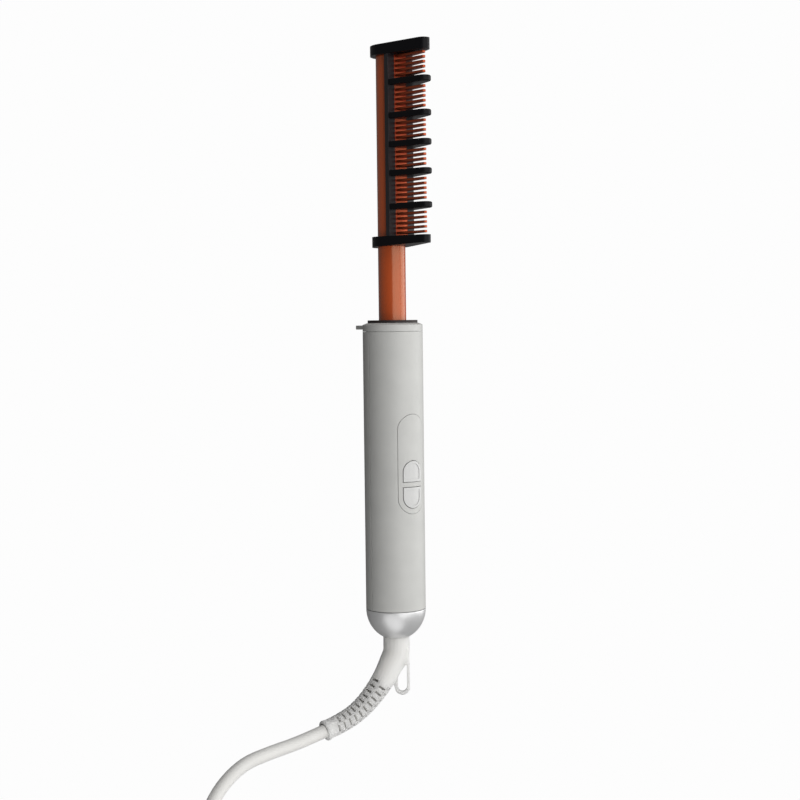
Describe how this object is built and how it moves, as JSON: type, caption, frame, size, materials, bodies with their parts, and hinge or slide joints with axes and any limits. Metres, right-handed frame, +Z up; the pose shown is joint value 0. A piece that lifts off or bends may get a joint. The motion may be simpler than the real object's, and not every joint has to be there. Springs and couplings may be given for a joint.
{
  "type": "heated styling comb",
  "caption": "Heated styling comb with copper fins between black guard ribs on a round barrel, a silver handle with push buttons, and a grey mains cord on a swivel.",
  "frame": {"origin": "middle of the sole of the rest foot under the collar, on the surface the tool lies on", "axes": "+Y along the tool towards its tip, +Z up from that surface, the way the teeth point"},
  "size_m": [0.1407, 0.5283, 0.065],
  "materials": {
    "satin_silver": "satin",
    "gloss_silver": "gloss",
    "button_silver": "satin",
    "black_plastic": "matte",
    "copper_fins": "satin",
    "copper_barrel": "satin",
    "dark_insulator": "matte",
    "plain_aluminium": "satin",
    "white_ceramic": "matte",
    "amber_film": "gloss",
    "plain_steel": "brushed",
    "white_plastic": "matte",
    "board_green": "satin",
    "wire_white": "matte",
    "yellow_box": "gloss",
    "cord_grey": "satin",
    "pin_brass": "satin"
  },
  "bodies": {
    "cord_set": {"cord_boot": "cord_grey", "swivel_retainer": "white_plastic", "mains_leads": "wire_white", "power_cord": "cord_grey", "cord_coil": "cord_grey", "cord_tail": "cord_grey", "cord_tie": "black_plastic", "plug_body": "cord_grey", "plug_pins": "pin_brass"},
    "tool": {"barrel": "copper_barrel", "heated_fin_comb": "copper_fins", "comb_frame": "black_plastic", "base_guard": "black_plastic", "tip_cap": "black_plastic", "tip_screw": "plain_steel", "tip_plug": "plain_aluminium", "heater_plate": "white_ceramic", "insulating_film": "amber_film", "heat_spreader_upper": "plain_aluminium", "heat_spreader_lower": "plain_aluminium", "thermistor": "white_ceramic", "thermal_fuse": "plain_steel", "heater_leads": "wire_white", "collar_ring": "satin_silver", "insulator_ring": "dark_insulator", "barrel_holder": "dark_insulator", "barrel_pin": "plain_steel", "control_panel": "satin_silver", "front_shell": "satin_silver", "rear_shell": "satin_silver", "control_board": "board_green", "board_screws": "plain_steel", "tact_switches": "black_plastic", "indicator_lights": "white_plastic", "film_capacitor": "yellow_box", "triac": "black_plastic", "end_cap": "gloss_silver", "swivel_bush": "white_plastic"},
    "button_upper": {"button_upper": "button_silver"},
    "button_lower": {"button_lower": "button_silver"}
  },
  "joints": [
    {"name": "cord_swivel", "type": "hinge", "parent": "cord_set", "child": "tool", "pos_m": [0, -0.15559, 0.01573], "axis": [0, 0.9983, 0.0584], "range_deg": [-135, 135]},
    {"name": "upper_press", "type": "slide", "parent": "tool", "child": "button_upper", "axis": [0, 0.0584, -0.9983], "range_m": [0, 0.0006], "stiffness_N_per_m": 800},
    {"name": "lower_press", "type": "slide", "parent": "tool", "child": "button_lower", "axis": [0, 0.0584, -0.9983], "range_m": [0, 0.0006], "stiffness_N_per_m": 800}
  ]
}
